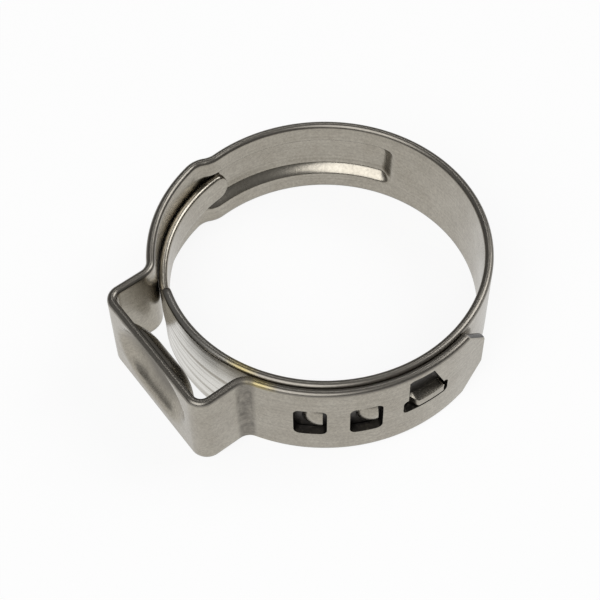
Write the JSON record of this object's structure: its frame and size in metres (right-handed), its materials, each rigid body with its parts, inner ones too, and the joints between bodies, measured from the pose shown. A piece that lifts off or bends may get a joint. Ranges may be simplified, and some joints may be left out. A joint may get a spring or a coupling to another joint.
{
  "type": "ear hose clamp",
  "caption": "Narrow steel band wound into a ring with overlapping hooked ends and a squared ear that is squeezed to tighten it round a hose.",
  "frame": {"origin": "on the axis of the bore, in the plane of the band's lower edge", "axes": "+Z along the bore axis, upward through the band's width; +X from the axis toward the middle of the ear's foot; +Y completes a right-handed frame, so that seen from above the overlap follows the ear counter-clockwise"},
  "size_m": [0.0272, 0.0255, 0.007],
  "materials": {
    "stainless_strip": "cold-rolled stainless strip, satin to semi-gloss, bare"
  },
  "bodies": {
    "root": {"clamp_band": "stainless_strip"}
  },
  "joints": []
}
